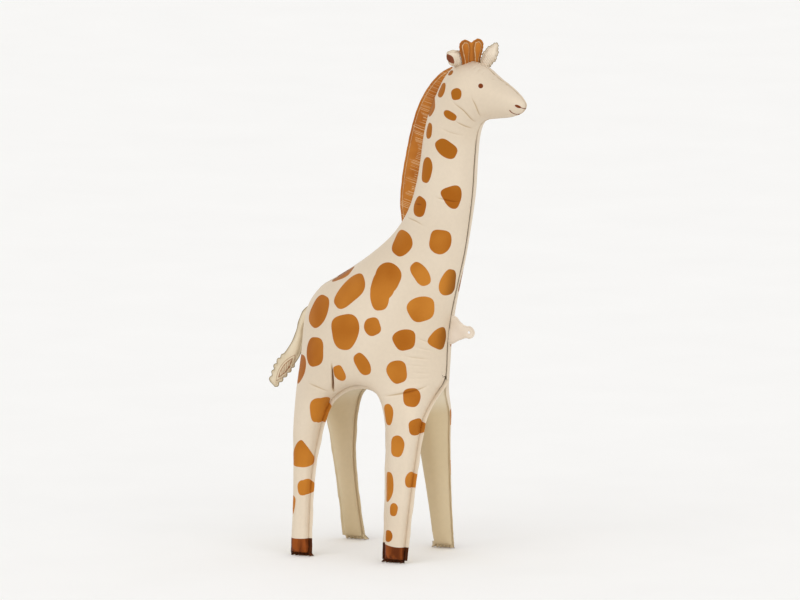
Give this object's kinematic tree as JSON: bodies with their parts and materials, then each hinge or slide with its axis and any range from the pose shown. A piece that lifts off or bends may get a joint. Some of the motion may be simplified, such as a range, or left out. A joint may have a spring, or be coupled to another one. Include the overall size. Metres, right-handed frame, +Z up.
{
  "type": "balloon giraffe",
  "caption": "Free-standing foil balloon in the shape of a giraffe, with a flat mane, horns, ears, a ribbon tail and a filling tab on the chest.",
  "frame": {"origin": "on the floor, in the middle of the part's bounding box", "axes": "+X is the way the giraffe looks, +Z is up, +Y is its left side"},
  "size_m": [0.8266, 0.3664, 1.4955],
  "materials": {
    "printed_foil": "satin pearl foil, cream with printed copper-brown spots and dark brown hooves, plain tan on the insides of the legs",
    "mane_foil": "satin orange-brown foil",
    "horn_foil": "satin orange-brown foil with pale seal lines",
    "ear_foil": "satin cream foil, crinkled, with a dark brown patch on the open side",
    "tail_foil": "satin cream foil with tan edges and a printed brown tuft",
    "tab_film": "flat cream film"
  },
  "bodies": {
    "root": {"balloon_body": "printed_foil", "mane": "mane_foil", "horns": "horn_foil", "ear_left": "ear_foil", "ear_right": "ear_foil", "tail": "tail_foil", "inflation_tab": "tab_film"}
  },
  "joints": []
}
